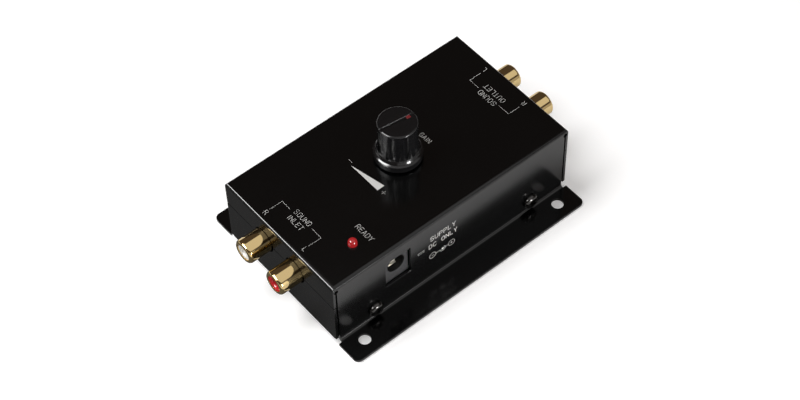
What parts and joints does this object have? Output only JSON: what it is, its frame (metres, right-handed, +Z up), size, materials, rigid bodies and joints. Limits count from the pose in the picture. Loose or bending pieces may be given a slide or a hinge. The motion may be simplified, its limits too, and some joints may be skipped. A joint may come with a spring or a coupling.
{
  "type": "line preamplifier",
  "caption": "Small black steel line preamplifier box with mounting flanges, a volume knob, a power lamp, a DC inlet and gilt phono sockets on both ends.",
  "frame": {"origin": "middle of the case, on the surface that the flanges stand on", "axes": "+X from the input sockets to the output sockets, -Y to the side with the DC inlet, +Z up"},
  "size_m": [0.1138, 0.075, 0.0454],
  "materials": {
    "case_paint": "semi-gloss black",
    "black_steel": "black zinc",
    "knob_plastic": "semi-gloss",
    "pointer_red": "paint",
    "gilt": "polished gilt",
    "insert_white": "gloss",
    "insert_red": "gloss",
    "moulded_plastic": "fine texture",
    "lamp_red": "clear red",
    "plated_steel": "bright zinc",
    "tinned_brass": "tinned",
    "circuit_laminate": "solder mask",
    "phenolic": "bare",
    "capacitor_sleeve": "heat-shrunk sleeve",
    "film_coat": "dipped",
    "resistor_coat": "lacquer"
  },
  "bodies": {
    "case": {"top_cover": "case_paint", "base_tray": "case_paint", "case_screws": "black_steel", "circuit_board": "circuit_laminate", "board_standoffs": "plated_steel", "board_screws": "plated_steel", "pot_bushing": "plated_steel", "pot_washer": "plated_steel", "pot_nut": "plated_steel", "pot_housing": "plated_steel", "pot_tracks": "phenolic", "pot_terminals": "tinned_brass", "input_right_shell": "gilt", "input_right_insert": "insert_white", "input_right_contact": "gilt", "input_right_housing": "moulded_plastic", "input_left_shell": "gilt", "input_left_insert": "insert_red", "input_left_contact": "gilt", "input_left_housing": "moulded_plastic", "output_left_shell": "gilt", "output_left_insert": "insert_red", "output_left_contact": "gilt", "output_left_housing": "moulded_plastic", "output_right_shell": "gilt", "output_right_insert": "insert_white", "output_right_contact": "gilt", "output_right_housing": "moulded_plastic", "dc_socket_housing": "moulded_plastic", "dc_socket_pin": "tinned_brass", "dc_socket_spring": "tinned_brass", "dc_socket_terminals": "tinned_brass", "power_led": "lamp_red", "led_leads": "tinned_brass", "op_amp": "moulded_plastic", "op_amp_legs": "tinned_brass", "filter_capacitors": "capacitor_sleeve", "coupling_capacitors": "capacitor_sleeve", "film_capacitors": "film_coat", "resistors": "resistor_coat", "polarity_diode": "moulded_plastic"},
    "knob": {"volume_knob": "knob_plastic", "knob_pointer": "pointer_red", "pot_shaft": "plated_steel", "pot_wiper": "moulded_plastic"}
  },
  "joints": [
    {"name": "volume_turn", "type": "hinge", "parent": "case", "child": "knob", "pos_m": [0.0003, 0.0002, 0.03], "axis": [0, 0, -1], "range_deg": [-157.5, 142.5]}
  ]
}
